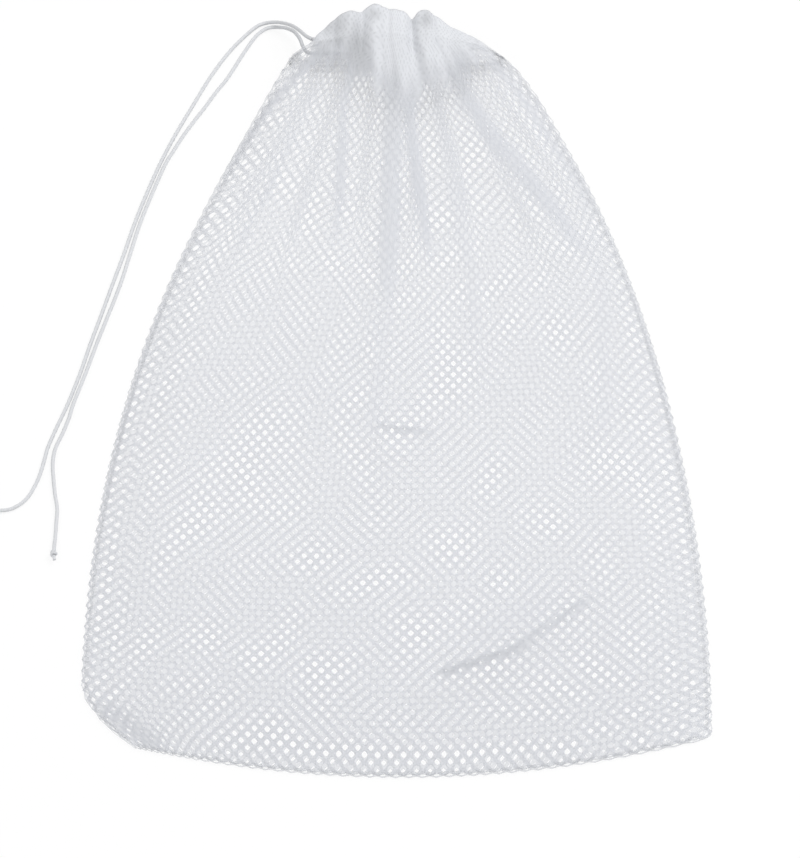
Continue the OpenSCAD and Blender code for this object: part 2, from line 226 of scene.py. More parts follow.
meshCloth = makeCloth("meshCloth", light=(0.645, 0.66, 0.70), dark=(0.605, 0.62, 0.66), fibreScale=2600.0,
                      bump=0.15, sheen=0.2, sheer=0.29)
hemCloth = makeCloth("hemCloth", light=(0.735, 0.75, 0.78), dark=(0.675, 0.69, 0.72), fibreScale=1800.0,
                     bump=0.12, sheen=0.2, sheer=0.02, pattern=netRelief)
seamCloth = makeCloth("seamCloth", light=(0.74, 0.755, 0.785), dark=(0.68, 0.695, 0.725), fibreScale=1800.0,
                      bump=0.2, sheen=0.2, sheer=0.1)
cordYarn = makeCloth("cordYarn", light=(0.70, 0.71, 0.73), dark=(0.62, 0.63, 0.65), fibreScale=2400.0,
                     bump=0.3, sheen=0.3)
sewingThread = makeCloth("sewingThread", light=(0.76, 0.77, 0.785), dark=(0.68, 0.69, 0.71),
                         fibreScale=2500.0, bump=0.3, sheen=0.2, sheer=0.2)
print("materials made")


# cords: limp braided cord, 2.5 mm thick
cordFacts = dict(diameter=2.5, sides=16, step=0.45, strands=4, lay=9.0, relief=0.07,
                 # shade and shadeX: how dark the cord's painted shade is near the hem, and the x over which
                 # it fades in
                 shade=0.4, shadeX=(-84, -66))

frontRoute = [
    (-54, 273, 21.64), (-58, 276, 21.2), (-62, 282, 18.8), (-66.5, 288.5, 15), (-72, 294.5, 10),
    (-78, 299, 5), (-84, 300.6, 1.9), (-90, 298, 1.4), (-99, 288.5, 1.4), (-108.5, 276, 1.4),
    (-119.5, 257.5, 1.4), (-131, 234, 1.4), (-142, 211, 1.4), (-152, 187, 1.4), (-160.5, 163, 1.4),
    (-168, 139.5, 1.4), (-174.5, 116, 1.4), (-181.5, 92.5, 1.4), (-188.5, 68.5, 1.4), (-195.5, 45, 1.4),
    (-202, 21.5, 1.4), (-209.5, -2, 1.4), (-214, -14, 1.4), (-218.5, -26, 1.4), (-222.5, -38, 1.4),
    (-225, -49.5, 1.4), (-228, -61, 1.4), (-233, -73, 1.4), (-238, -80, 1.4), (-244, -84.5, 1.4),
    (-249, -86.2, 1.5), (-254, -86.6, 2), (-260, -85.8, 2.7),
]
backRoute = [
    (-54, 273, 6.24), (-57.5, 274, 6.5), (-60, 278.5, 6.8), (-62, 284.5, 6.8), (-65.5, 290.5, 6),
    (-70.5, 294.5, 4.6), (-76, 296.6, 2.8), (-82, 297, 1.6), (-87, 294, 1.4), (-91.5, 288.5, 1.4),
    (-98.5, 276, 1.4), (-108, 257.5, 1.4), (-115.5, 246, 1.4), (-122.5, 234, 1.4), (-130, 222, 1.4),
    (-136.5, 211, 1.4), (-143, 198.5, 1.4), (-148.5, 187, 1.4), (-157, 163, 1.4), (-164.5, 139.5, 1.4),
    (-170.5, 116, 1.4), (-176.5, 92.5, 1.4), (-184, 68.5, 1.4), (-191.5, 45, 1.4), (-198.5, 21.5, 1.4),
    (-206, -2, 1.4), (-209, -14, 1.4), (-213, -26, 1.4), (-217.5, -38, 1.4), (-219, -49.5, 1.4),
    (-218.5, -61, 1.4), (-217.5, -73, 1.4), (-216, -85, 1.4), (-216.5, -97, 1.4), (-217, -107, 1.5),
    (-217.5, -113, 2), (-217.8, -119, 2.7),
]


def smoothPath(points, step):
    # a rounded curve through the points, then points an even step apart along it
    p = np.array(points, float)
    ends = np.vstack([2 * p[0] - p[1], p, 2 * p[-1] - p[-2]])
    fine = []
    for i in range(len(p) - 1):
        a, b, c, d = ends[i:i + 4]
        for u in np.linspace(0, 1, 24, endpoint=False):
            fine.append(0.5 * (2 * b + (c - a) * u + (2 * a - 5 * b + 4 * c - d) * u * u
                               + (3 * b - a - 3 * c + d) * u ** 3))
    fine = np.array(fine + [p[-1]])
    run = np.concatenate([[0], np.cumsum(np.linalg.norm(np.diff(fine, axis=0), axis=1))])
    count = max(2, int(round(run[-1] / step)) + 1)
    at = np.linspace(0, run[-1], count)
    return np.stack([np.interp(at, run, fine[:, k]) for k in range(3)], axis=1), run[-1]


def carriedFrames(path):
    # directions square to the path that turn with it and don't spin
    along = np.gradient(path, axis=0)
    along /= np.linalg.norm(along, axis=1)[:, None]
    side = np.zeros_like(path)
    first = np.cross((0, 0, 1), along[0])
    if np.linalg.norm(first) < 0.1:
        first = np.cross((0, 1, 0), along[0])
    side[0] = first / np.linalg.norm(first)
    for i in range(1, len(path)):
        v = side[i - 1] - along[i] * np.dot(side[i - 1], along[i])
        side[i] = v / np.linalg.norm(v)
    return side, np.cross(along, side)


def meshObject(name, verts, faces, material, uv=None):
    mesh = bpy.data.meshes.new(name)
    corners = faces if isinstance(faces, list) else faces.tolist()
    mesh.from_pydata((np.asarray(verts) * mm).tolist(), [], corners)
    mesh.polygons.foreach_set("use_smooth", [True] * len(mesh.polygons))
    if uv is not None:
        layer = mesh.uv_layers.new(name="clothUv")
        corner = np.zeros(len(mesh.loops), int)
        mesh.loops.foreach_get("vertex_index", corner)
        layer.data.foreach_set("uv", np.asarray(uv, float)[corner].ravel())
    mesh.materials.append(material)
    mesh.update()
    piece = bpy.data.objects.new(name, mesh)
    bpy.context.scene.collection.objects.link(piece)
    return piece


def smoothStep(low, high, value):
    u = np.clip((value - low) / (high - low), 0, 1)
    return u * u * (3 - 2 * u)


def setValue(piece, name, values):
    layer = piece.data.attributes.new(name, "FLOAT", "POINT")
    layer.data.foreach_set("value", np.asarray(values, np.float32))


def ringQuads(count, sides):
    # four-cornered faces between rings of points that follow each other
    i, k = np.meshgrid(np.arange(count - 1), np.arange(sides), indexing="ij")
    q = (k + 1) % sides
    corners = [i * sides + k, i * sides + q, (i + 1) * sides + q, (i + 1) * sides + k]
    return np.stack(corners, axis=-1).reshape(-1, 4)


def tubeMesh(path, radius, sides, relief=0.0, strands=4, lay=9.0, offset=0):
    # rings along the path, with a braid's two crossing sets of strands as relief
    side, up = carriedFrames(path)
    run = np.concatenate([[0], np.cumsum(np.linalg.norm(np.diff(path, axis=0), axis=1))])
    turn = np.arange(sides) * 2 * math.pi / sides
    r = np.full((len(path), sides), float(radius))
    if relief:
        phase = (run / lay * 2 * math.pi)[:, None]
        one = np.cos(strands * turn[None, :] + phase * strands / 2)
        two = np.cos(strands * turn[None, :] - phase * strands / 2)
        r = radius * (1 - relief + relief * np.maximum(one, two))
    around = np.cos(turn)[None, :, None] * side[:, None, :] + np.sin(turn)[None, :, None] * up[:, None, :]
    verts = (path[:, None, :] + r[..., None] * around).reshape(-1, 3)
    n = len(path)
    faces = [[int(c) + offset for c in f] for f in ringQuads(n, sides)]
    faces.append([int(c) + offset for c in range(sides)][::-1])
    faces.append([int(c) + offset for c in range((n - 1) * sides, n * sides)])
    return verts, faces


def braidedCord(name, points):
    path, length = smoothPath(points, cordFacts["step"])
    verts, faces = tubeMesh(path, cordFacts["diameter"] / 2, cordFacts["sides"], cordFacts["relief"],
                            cordFacts["strands"], cordFacts["lay"])
    piece = meshObject(name, verts, faces, cordYarn)
    # painted shade: the cord is greyer where it comes out of the hem's shade
    shade = cordFacts["shade"] * smoothStep(*cordFacts["shadeX"], path[:, 0])
    setValue(piece, "paintedShade", np.repeat(shade, cordFacts["sides"]))
    return piece, path[::4], length


knotFacts = dict(points=46, turns=2.1, start=0.2, length=4.6, wide=1.45, tight=0.25, radius=1.05,
                 sides=12, step=0.35, end=((5.6, 0.3, 0.0), (6.6, 0.5, -0.3), (7.4, 0.7, -0.6)), lowest=0.05)


def tiedKnot(name, route):
    # an overhand knot pulled tight: two wraps round the standing cord, then the loose end
    last, before = np.array(route[-1], float), np.array(route[-2], float)
    ahead = last - before
    ahead /= np.linalg.norm(ahead)
    side = np.cross((0, 0, 1), ahead)
    side /= np.linalg.norm(side)
    up = np.cross(ahead, side)
    wraps = []
    for u in np.linspace(0, 1, knotFacts["points"]):
        swing = 2 * math.pi * knotFacts["turns"] * u
        wide = knotFacts["tight"]
        if 0.03 < u < 0.92:
            wide = knotFacts["wide"] * math.sin(math.pi * min(1, max(0, u * 1.12 - 0.03))) ** 0.45
        centre = last + ahead * (knotFacts["start"] + knotFacts["length"] * u)
        wraps.append(centre + side * wide * math.cos(swing) + up * wide * math.sin(swing))
    wraps += [last + ahead * a + side * b + up * c for a, b, c in knotFacts["end"]]
    path, _ = smoothPath(wraps, knotFacts["step"])
    verts, faces = tubeMesh(path, knotFacts["radius"], knotFacts["sides"], cordFacts["relief"],
                            cordFacts["strands"], cordFacts["lay"])
    verts[:, 2] = np.maximum(verts[:, 2], knotFacts["lowest"])
    return meshObject(name, verts, faces, cordYarn)


frontTail, frontPath, frontLength = braidedCord("frontTail", frontRoute)
backTail, backPath, backLength = braidedCord("backTail", backRoute)
frontKnot = tiedKnot("frontKnot", frontRoute)
backKnot = tiedKnot("backKnot", backRoute)

# the cord inside the hem: a straight run in each channel, and the turn that joins them at the right end
channelFacts = dict(y=273, frontZ=21.64, backZ=6.24, runX=(12, -10, -32, -54), leadX=(12.3, 19.3, 26.3, 33.3),
                    turnX=41.5, turnZ=13.94, turnRadius=7.7)


def channelPoints(places, z):
    return [(x, channelFacts["y"], z) for x in places]


frontRun, _, _ = braidedCord("frontRun", channelPoints(channelFacts["runX"], channelFacts["frontZ"]))
backRun, _, _ = braidedCord("backRun", channelPoints(channelFacts["runX"], channelFacts["backZ"]))
turnPoints = channelPoints(channelFacts["leadX"], channelFacts["frontZ"])
for angle in np.linspace(0, math.pi, 13):
    outX, outZ = channelFacts["turnRadius"] * math.sin(angle), channelFacts["turnRadius"] * math.cos(angle)
    turnPoints.append((channelFacts["turnX"] + outX, channelFacts["y"], channelFacts["turnZ"] + outZ))
turnPoints += channelPoints(channelFacts["leadX"][::-1], channelFacts["backZ"])
cordTurn, _, _ = braidedCord("cordTurn", turnPoints)

for piece, node in ((frontTail, "front_drawstring_tail"), (backTail, "back_drawstring_tail"),
                    (frontKnot, "front_tail_knot"), (backKnot, "back_tail_knot"),
                    (frontRun, "front_drawstring_run"), (backRun, "back_drawstring_run"),
                    (cordTurn, "drawstring_loop")):
    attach(piece, "bag" if node == "drawstring_loop" else "drawstring")
    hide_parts(node)
print("cords laid:", round(frontLength), round(backLength), "mm")


# the lying bag: outline of the drawn-up sack, the same as its solids
bagFacts = dict(width=400.0, length=590.0, shoulderWidth=132.0, hemLength=30.0, leftFullness=1.0,
                rightFullness=1.3, leftSquare=2.3, rightSquare=2.0, leftCornerLift=23.0, rightCornerLift=31.0,
                cornerDraw=36.0, cornerShare=0.1, sagPower=2.0, bodyCloth=566.0, wholeCloth=602.0, crown=19.0,
                neckRise=20.8, edgeRise=11.0, lumpRise=6.5, pucker=0.8, drawReach=120.0,
                rim=60.0, rimShare=0.16, columns=401, rows=302)
lowY = -bagFacts["length"] / 2
topY = bagFacts["length"] / 2
neckY = topY - bagFacts["hemLength"]


def sideHalf(share, fullness, square):
    half = bagFacts["shoulderWidth"] / 2
    return half + (bagFacts["width"] / 2 - half) * np.maximum(0, 1 - share ** square) ** (1 / fullness)


def leftX(share):
    drawn = bagFacts["cornerDraw"] * np.maximum(0, 1 - share / bagFacts["cornerShare"]) ** 2
    return drawn - sideHalf(share, bagFacts["leftFullness"], bagFacts["leftSquare"])


def rightX(share):
    return sideHalf(share, bagFacts["rightFullness"], bagFacts["rightSquare"])


def clothY(across, share):
    corner = lowY + bagFacts["leftCornerLift"] * (1 - across) + bagFacts["rightCornerLift"] * across
    drop = (bagFacts["leftCornerLift"] + bagFacts["rightCornerLift"]) / 2
    sag = drop * (1 - np.abs(2 * np.clip(across, 0, 1) - 1) ** bagFacts["sagPower"]) * (1 - share) ** 3
    return corner * (1 - share) + neckY * share - sag


def easeOut(u):
    u = np.clip(u, 0, 1)
    return u * (2 - u)


def slowWaves(s, t, seed):
    # smooth unevenness from a few fixed waves, between about -1 and 1
    total = 0.0
    for k in range(6):
        a = seed * 1.7 + k * 2.3
        rateS, rateT = (0.014 + 0.007 * k) * math.cos(a), (0.012 + 0.006 * k) * math.sin(a)
        total = total + np.sin(s * rateS + t * rateT + a * 3.1)
    return total / 3.0


# folds down from the neck: half width, part of the spare cloth, how dense it lies, and the way up the bag
# as pairs of the share of its length and the place across
frontFolds = [
    (4.5, 0.9, 0.30, ((0.78, -120), (0.87, -100), (0.925, -80), (0.965, -60), (1.0, -47))),
    (3.6, 0.6, 0.30, ((0.69, -40), (0.78, -36), (0.905, -34), (1.0, -26))),
    (4.6, 1.4, 0.30, ((0.61, -5), (0.79, -3), (0.93, -1), (1.0, -2))),
    (3.8, 0.7, 0.36, ((0.66, 22), (0.737, 18.5), (0.872, 10), (1.0, 8))),
    (4.8, 0.7, 0.0, ((0.49, 54), (0.59, 51), (0.656, 49), (0.75, 41), (0.834, 33), (0.9, 27), (1.0, 22))),
    (7.5, 1.2, 0.34, ((0.66, 130), (0.757, 101), (0.815, 80), (0.915, 47), (1.0, 36))),
    (4.0, 0.6, 0.30, ((0.76, 128), (0.84, 108), (0.93, 80), (1.0, 54))),
    (3.6, 0.3, 0.20, ((0.64, -112), (0.72, -98), (0.82, -76), (0.92, -56), (1.0, -36))),
    (6.0, 0.4, 0.0, ((0.27, 114), (0.36, 124), (0.478, 132), (0.62, 133), (0.74, 127), (0.84, 112),
                     (0.93, 86), (1.0, 58))),
    (6.0, 0.4, 0.0, ((0.22, 8), (0.338, -5), (0.45, -14), (0.507, -12), (0.61, -7), (0.79, -5), (1.0, -4))),
]
backFolds = [
    (5.0, 1.0, 0.0, ((0.70, -118), (0.82, -92), (1.0, -48))),
    (5.0, 1.0, 0.0, ((0.66, -78), (0.82, -58), (1.0, -32))),
    (5.0, 0.9, 0.0, ((0.70, -24), (0.85, -20), (1.0, -14))),
    (5.0, 0.9, 0.0, ((0.68, 14), (0.85, 10), (1.0, 6))),
    (5.0, 1.0, 0.0, ((0.70, 56), (0.85, 38), (1.0, 22))),
    (5.0, 1.0, 0.0, ((0.66, 104), (0.82, 74), (1.0, 38))),
    (5.0, 0.9, 0.0, ((0.74, 128), (0.84, 102), (1.0, 54))),
]
# the hem from left to right: its top edge, and how far it swells between the hollows of its gathers
hemTop = [(-66, 265.2), (-59, 268), (-55, 271.5), (-48, 278), (-42, 285), (-37.5, 289), (-33, 290.5),
          (-28.5, 291.5), (-25, 291.5), (-22, 294), (-18, 296), (-12.5, 296.5), (-6.5, 292.5),
          (-2.5, 291.5), (1.5, 292), (6.5, 291.5), (9, 288.5), (11, 285), (13, 288.5), (15.5, 291),
          (20.5, 291.5), (25.5, 288.5), (31, 284), (35.5, 280.5), (45.5, 275.5), (53, 272), (58, 269),
          (66, 265.5)]
hemLumps = [(-66, 0), (-58, 0.1), (-50, 0.35), (-45, 0.5), (-39, 0.55), (-33, 0.85), (-28, 0.7), (-23, 0),
            (-18, 0.6), (-12, 1), (-6, 0.75), (2, 0.85), (7, 0.5), (11, 0), (15, 0.6), (20, 0.95),
            (26, 0.65), (31, 0.6), (36, 0.4), (44, 0.35), (52, 0.25), (60, 0.1), (66, 0)]
# how far up the open meshes of the front reach, left to right
meshTop = [(-66, 282), (-56, 278), (-50, 269), (-45, 264), (-40, 262), (-34, 260), (-29, 255), (-22, 248),
           (-10, 242), (-4, 236), (2, 232), (8, 234), (18, 236), (26, 241), (34, 250), (46, 256),
           (52, 264), (58, 276), (66, 282)]


def alongPairs(at, pairs):
    return np.interp(at, [p[0] for p in pairs], [p[1] for p in pairs])


def softPairs(at, pairs):
    # the same, with its corners rounded
    return sum(alongPairs(at + d, pairs) for d in (-2.4, -1.2, 0.0, 1.2, 2.4)) / 5


# how the cloth is drawn together, how dense it lies, and how far the hem's plies cover it
gatherFacts = dict(bodyEase=0.075, neckEase=0.26, foldCloth=24.0, foldRise=2.0, backFoldRise=1.4,
                   backNeckRise=5.5, topDip=1.4, unevenClosing=0.13, plainDense=0.2, lowDense=0.05,
                   highThin=0.02, highOpen=0.13, lowPly=0.9, frontPly=0.95, backPly=0.55, endPly=0.3)


def layCloth(folds, front):
    # every row keeps its cloth: what the outline can't hold is drawn closer, most of it in the folds
    halfWidth = bagFacts["width"] / 2
    s = np.linspace(-halfWidth, halfWidth, bagFacts["columns"])
    t = np.linspace(0, bagFacts["wholeCloth"], bagFacts["rows"])
    place = np.zeros((len(t), len(s), 3))
    openShare, bunched, cover = (np.zeros((len(t), len(s))) for _ in range(3))
    for row, run in enumerate(t):
        share = min(1.0, run / bagFacts["bodyCloth"])
        rise = max(0.0, run - bagFacts["bodyCloth"]) / (bagFacts["wholeCloth"] - bagFacts["bodyCloth"])
        edge, right = float(leftX(np.array(share))), float(rightX(np.array(share)))
        left = -float(sideHalf(np.array(share), bagFacts["leftFullness"], bagFacts["leftSquare"]))
        wide = right - left
        easy = 1 - gatherFacts["bodyEase"] * smoothStep(0.0, 0.55, share)
        easy = float(easy - gatherFacts["neckEase"] * smoothStep(0.76, 1.0, share))
        easy = max(wide / bagFacts["width"], easy)
        fine = np.linspace(left, right, 801)
        parts = [(half, takes * float(smoothStep(way[0][0] - 0.02, way[0][0] + 0.16, share)), grey,
                  alongPairs(share, way)) for half, takes, grey, way in folds]
        weight = sum(p[1] for p in parts) + 1e-6
        spare = min(bagFacts["width"] - wide / easy, gatherFacts["foldCloth"] * weight)
        hidden, greyed, ridge = (np.zeros_like(fine) for _ in range(3))
        for half, part, grey, at in parts:
            own = spare * part / weight / (half * math.sqrt(math.pi)) * np.exp(-((fine - at) / half) ** 2)
            hidden += own
            greyed += grey * own
            ridge += min(1.0, part) * np.exp(-((fine - at) / (1.4 * half)) ** 2)
        base = (bagFacts["width"] - np.trapz(hidden, fine)) / wide
        density = base + hidden
        used = np.concatenate([[0], np.cumsum(0.5 * (density[1:] + density[:-1]) * (fine[1] - fine[0]))])
        x = np.interp(s, used * bagFacts["width"] / used[-1] - halfWidth, fine)
        squeeze = np.interp(x, fine, base / density)
        dense = np.interp(x, fine, greyed / (hidden + 1e-6))
        drawn = np.maximum(0, 1 - (x - left) / bagFacts["drawReach"]) ** 2
        x = x + (edge - left) * drawn  # the drawn-in corner
        across = np.clip((x - edge) / (right - edge), 0, 1)
        y = clothY(across, share) - 0.3 * (1 - share) ** 14
        y = y + (softPairs(x, hemTop) - neckY) * rise
        gap = np.minimum(x - edge, right - x)
        near = float(smoothStep(0.86, 1.0, share))
        rim = min(bagFacts["rim"], bagFacts["rimShare"] * wide) * (1 - 0.4 * near)
        up = easeOut(gap / rim) * easeOut((y - clothY(across, 0.0)) / 80.0)
        low = bagFacts["edgeRise"] * near
        fold = np.interp(x, fine, ridge) * easeOut(gap / 12.0)
        fan = 132.0 * across
        if front:
            swell = float(smoothStep(0.75, 1.0, share))
            crown = bagFacts["crown"] + (bagFacts["neckRise"] - bagFacts["crown"]) * swell
            lumps = bagFacts["lumpRise"] * softPairs(x, hemLumps) * float(smoothStep(0.93, 1.0, share))
            wrinkles = np.sin(0.41 * fan + 1.3 * np.sin(0.13 * fan))
            wrinkles = wrinkles + 0.5 * np.sin(0.86 * fan + 0.9 * np.sin(0.21 * fan) + 2.0)
            wrinkles = wrinkles * (0.6 + 0.4 * np.sin(0.09 * fan + 1.0)) * easeOut(gap / 15.0)
            wrinkles = bagFacts["pucker"] * wrinkles * float(smoothStep(0.86, 1.0, share))
            height = low + (crown - low) * up + gatherFacts["foldRise"] * fold * (1 - near)
            height = height + lumps + wrinkles - gatherFacts["topDip"] * rise ** 4
            above = y - softPairs(x, meshTop)
            plain = smoothStep(-8, 10, above)
            folded = dense * (1 - smoothStep(0.3, 0.9, squeeze))
            bunched[row] = np.maximum(folded, gatherFacts["plainDense"] * smoothStep(-12, 14, above))
            fingers = 5.0 * np.sin(0.37 * fan + 1.1 * np.sin(0.11 * fan)) + 3.0 * np.sin(0.93 * fan + 2.0)
            cover[row] = gatherFacts["lowPly"] * smoothStep(-26, 16, above + fingers)
            doubled = gatherFacts["frontPly"] * float(smoothStep(562, 576, run))
            unevenClosing = gatherFacts["unevenClosing"] * slowWaves(7 * s, 7 * run, 1.9)
            closing = smoothStep(0.3, 0.85, squeeze + unevenClosing)
        else:
            height = low * (1 - easeOut(gap / rim)) + gatherFacts["backFoldRise"] * fold
            height = height + gatherFacts["backNeckRise"] * float(smoothStep(0.92, 1.0, share))
            doubled = gatherFacts["backPly"] * float(smoothStep(557, 588, run))
            plain = np.full_like(x, float(smoothStep(0.975, 1.0, share)))
            closing = smoothStep(0.12, 0.6, squeeze)
        # the hem thins out at its two ends
        ends = gatherFacts["endPly"] + (1 - gatherFacts["endPly"]) * smoothStep(4, 18, gap)
        cover[row] = np.maximum(cover[row], doubled * ends)
        # meshes close at the side seams, more so higher up, and at the bottom seam
        inside = halfWidth - np.abs(s)
        hemmed = 1 - float(smoothStep(0.15, 0.45, share)) * (1 - smoothStep(1, 5, inside))
        hemmed = hemmed * smoothStep(0.2, 2.5, np.minimum(inside, run))
        # drawn cloth lies looser and its meshes wider, and the cloth near the bottom lies closer
        bunched[row] += gatherFacts["lowDense"] * (1 - float(smoothStep(0.1, 0.4, share)))
        bunched[row] -= gatherFacts["highThin"] * float(smoothStep(0.55, 0.92, share))
        place[row] = np.stack([x * (1 - 0.05 * rise) + 1.2 * (2 * across - 1) ** 15, y, height], axis=1)
        wider = 1 + gatherFacts["highOpen"] * float(smoothStep(0.5, 0.85, share))
        openShare[row] = closing * (1 - plain) * hemmed * wider
    for _ in range(3):
        place[1:-1] = 0.5 * place[1:-1] + 0.25 * (place[:-2] + place[2:])
    return s, t, place, openShare[..., None], bunched[..., None], cover


def faceNormals(place):
    across = np.gradient(place, axis=1)
    along = np.gradient(place, axis=0)
    n = np.cross(across, along)
    return n / np.maximum(1e-9, np.linalg.norm(n, axis=2))[..., None]


def pickCloth(s, t, field):
    # value of a field of the cloth at places (s, t), between its grid points
    u = np.clip((s - gridS[0]) / (gridS[1] - gridS[0]), 0, len(gridS) - 1.001)
    v = np.clip((t - gridT[0]) / (gridT[1] - gridT[0]), 0, len(gridT) - 1.001)
    i, j = u.astype(int), v.astype(int)
    fu, fv = (u - i)[..., None], (v - j)[..., None]
    return ((1 - fu) * (1 - fv) * field[j, i] + fu * (1 - fv) * field[j, i + 1]
            + (1 - fu) * fv * field[j + 1, i] + fu * fv * field[j + 1, i + 1])


def creaseLine(x, y, start, end, half, height):
    # a low ridge pressed into the cloth along a line
    a, b = np.array(start, float), np.array(end, float)
    d = b - a
    u = ((x - a[0]) * d[0] + (y - a[1]) * d[1]) / (d @ d)
    off = np.abs((x - a[0]) * d[1] - (y - a[1]) * d[0]) / math.sqrt(d @ d)
    return height * np.exp(-(off / half) ** 2) * smoothStep(-0.1, 0.15, u) * (1 - smoothStep(0.8, 1.1, u))


gridS, gridT, frontPlace, frontOpen, frontBunched, frontCover = layCloth(frontFolds, True)
_, _, backPlace, backOpen, backBunched, backCover = layCloth(backFolds, False)
fx, fy = frontPlace[..., 0], frontPlace[..., 1]

# heights of the two layers over the table, and the unevenness of the upper one
layerFacts = dict(front=2.6, back=0.75, uneven=1.2)
# creases pressed into the front: from, to, half width and strength
creaseFacts = dict(
    low=((26, -230), (86, -205), 3.2, 1.0),
    lowEnd=((70, -212), (126, -168), 2.8, 0.85),
    haze=((44, -203), (106, -167), 10.0, 1.0),  # cloth pushed up above the crease
    middle=((-12, -35), (24, -40), 2.0, 0.95),
    corner=((-189, -240), (-145, -279), 6.0, 1.0),
    closes=0.95, cornerCloses=0.6, hazeCloses=0.5, dense=0.5, cornerDense=0.25, ridge=2.0,
    grey=0.3, lowCreaseShade=0.2, cornerFoldShade=0.1,
# how dark the painted shade is along all creases, more on the low crease, and over the corner fold
)
lowCrease, lowEnd, haze, middleCrease, cornerFold = (
    creaseLine(fx, fy, *creaseFacts[k]) for k in ("low", "lowEnd", "haze", "middle", "corner"))
crease = np.maximum(np.maximum(lowCrease, lowEnd), middleCrease)
opened = (1 - creaseFacts["closes"] * crease) * (1 - creaseFacts["cornerCloses"] * cornerFold)
opened = opened * (1 - creaseFacts["hazeCloses"] * haze)
frontOpen *= opened[..., None]
pressed = np.maximum(creaseFacts["dense"] * crease, creaseFacts["cornerDense"] * cornerFold)
frontBunched = np.maximum(frontBunched, pressed[..., None])
frontPlace[..., 2] += creaseFacts["ridge"] * crease
uneven = slowWaves(fx, fy, 0.7) * smoothStep(0, 40, frontPlace[..., 2] * 3) * (1 - smoothStep(180, 240, fy))
frontPlace[..., 2] += layerFacts["uneven"] * uneven
frontPlace[..., 2] = np.maximum(frontPlace[..., 2], 0) + layerFacts["front"]
backPlace[..., 2] = np.maximum(backPlace[..., 2], 0) + layerFacts["back"]
# painted shade in the hollows of the gathers below and in the hem (place, half widths, darkness), and along
# the creases and the corner fold
paintedShadePlaces = [(-25, 264, 7.0, 21, 1.0), (-38, 279, 9, 14, 0.8), (-13, 287, 3.5, 5, 0.6),
                (19.5, 283, 3.5, 7, 0.8), (11, 284, 2.4, 7, 0.45), (-48, 262, 8, 9, 0.4),
                (-1, 225, 5, 34, 0.2), (44, 240, 10, 16, 0.2)]
frontPaintedShade = creaseFacts["grey"] * crease + creaseFacts["lowCreaseShade"] * lowCrease
frontPaintedShade = frontPaintedShade + creaseFacts["cornerFoldShade"] * cornerFold
for atX, atY, halfX, halfY, shadeAmount in paintedShadePlaces:
    away = ((fx - atX) / halfX) ** 2 + ((fy - atY) / halfY) ** 2
    frontPaintedShade = np.maximum(frontPaintedShade, shadeAmount * np.exp(-away))
frontPaintedShade = frontPaintedShade[..., None]
backPaintedShade = np.zeros_like(frontPaintedShade)
frontNormal, backNormal = faceNormals(frontPlace), faceNormals(backPlace)
ridges = [round(float(place[..., 2].max()), 1) for place in (frontPlace, backPlace)]
print("cloth laid, ridges up to", ridges, "mm")


